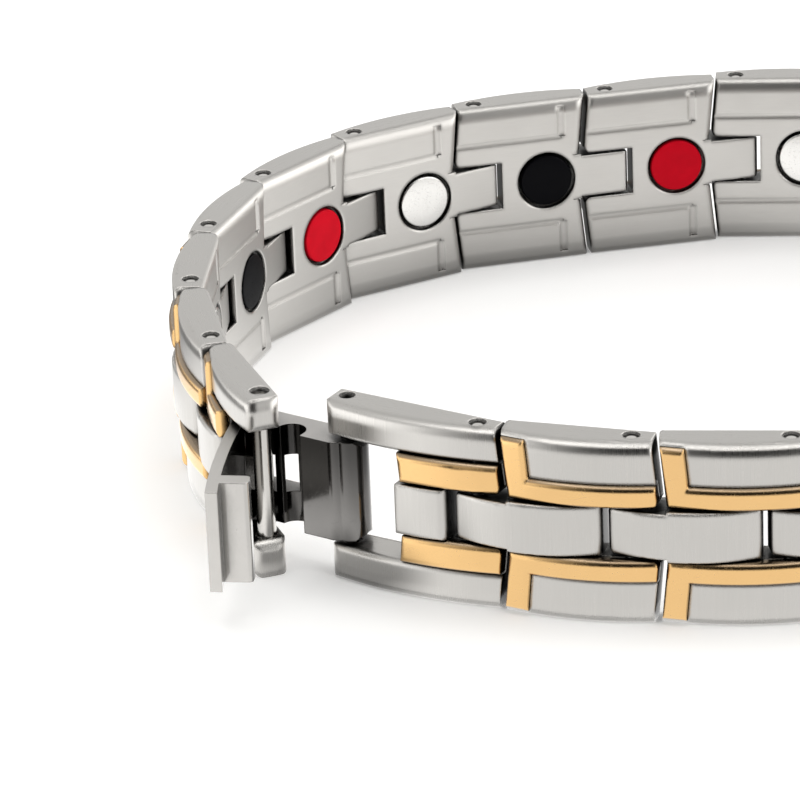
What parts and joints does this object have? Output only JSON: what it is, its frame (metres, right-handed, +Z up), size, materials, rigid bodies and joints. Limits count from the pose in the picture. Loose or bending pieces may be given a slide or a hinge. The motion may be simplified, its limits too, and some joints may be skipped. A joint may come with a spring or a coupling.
{
  "type": "two-tone magnetic link bracelet",
  "caption": "Closed loop of flat steel links with raised gold ribs, round magnets on the wrist side and an open fold-over clasp; lies on its side edge.",
  "frame": {"origin": "centre of the loop's bounding box, on the plane that the bracelet's side edge rests on", "axes": "+Z up along the loop's axis, +X along the loop's longer width, with the clasp at the -X -Y corner, -Y towards the front of the picture"},
  "size_m": [0.0758, 0.0648, 0.012],
  "materials": {
    "brushed_steel": "brushed lengthwise on the panels, satin edges",
    "polished_steel": "mirror polished",
    "gold_plating": "polished warm gold plating",
    "magnet": "nickel plated, polished",
    "black_insert": "glossy black",
    "red_insert": "glossy red"
  },
  "bodies": {
    "bracelet": {"clasp_end_link": "brushed_steel", "link_01": "brushed_steel", "link_02": "brushed_steel", "link_03": "brushed_steel", "link_04": "brushed_steel", "link_05": "brushed_steel", "link_06": "brushed_steel", "link_07": "brushed_steel", "link_08": "brushed_steel", "link_09": "brushed_steel", "link_10": "brushed_steel", "link_11": "brushed_steel", "link_12": "brushed_steel", "link_13": "brushed_steel", "link_14": "brushed_steel", "link_15": "brushed_steel", "link_16": "brushed_steel", "link_17": "brushed_steel", "link_18": "brushed_steel", "link_19": "brushed_steel", "link_20": "brushed_steel", "bar_end_link": "brushed_steel", "clasp_end_ribs": "gold_plating", "ribs_01": "gold_plating", "ribs_02": "gold_plating", "ribs_03": "gold_plating", "ribs_04": "gold_plating", "ribs_05": "gold_plating", "ribs_06": "gold_plating", "ribs_07": "gold_plating", "ribs_08": "gold_plating", "ribs_09": "gold_plating", "ribs_10": "gold_plating", "ribs_11": "gold_plating", "ribs_12": "gold_plating", "ribs_13": "gold_plating", "ribs_14": "gold_plating", "ribs_15": "gold_plating", "ribs_16": "gold_plating", "ribs_17": "gold_plating", "ribs_18": "gold_plating", "ribs_19": "gold_plating", "ribs_20": "gold_plating", "bar_end_ribs": "gold_plating", "magnet_discs": "magnet", "black_discs": "black_insert", "red_discs": "red_insert", "link_pins": "polished_steel", "catch_bar": "polished_steel", "clasp_pin": "polished_steel"},
    "base": {"clasp_base": "polished_steel", "lever_pin": "polished_steel"},
    "lever": {"clasp_lever": "polished_steel"}
  },
  "joints": [
    {"name": "base_hinge", "type": "hinge", "parent": "bracelet", "child": "base", "pos_m": [-0.02626, -0.02229, 0.006], "axis": [0, 0, 1], "range_deg": [-5, 5]},
    {"name": "lever_hinge", "type": "hinge", "parent": "base", "child": "lever", "pos_m": [-0.03191, -0.01921, 0.006], "axis": [0, 0, 1], "range_deg": [-14, 19]}
  ]
}
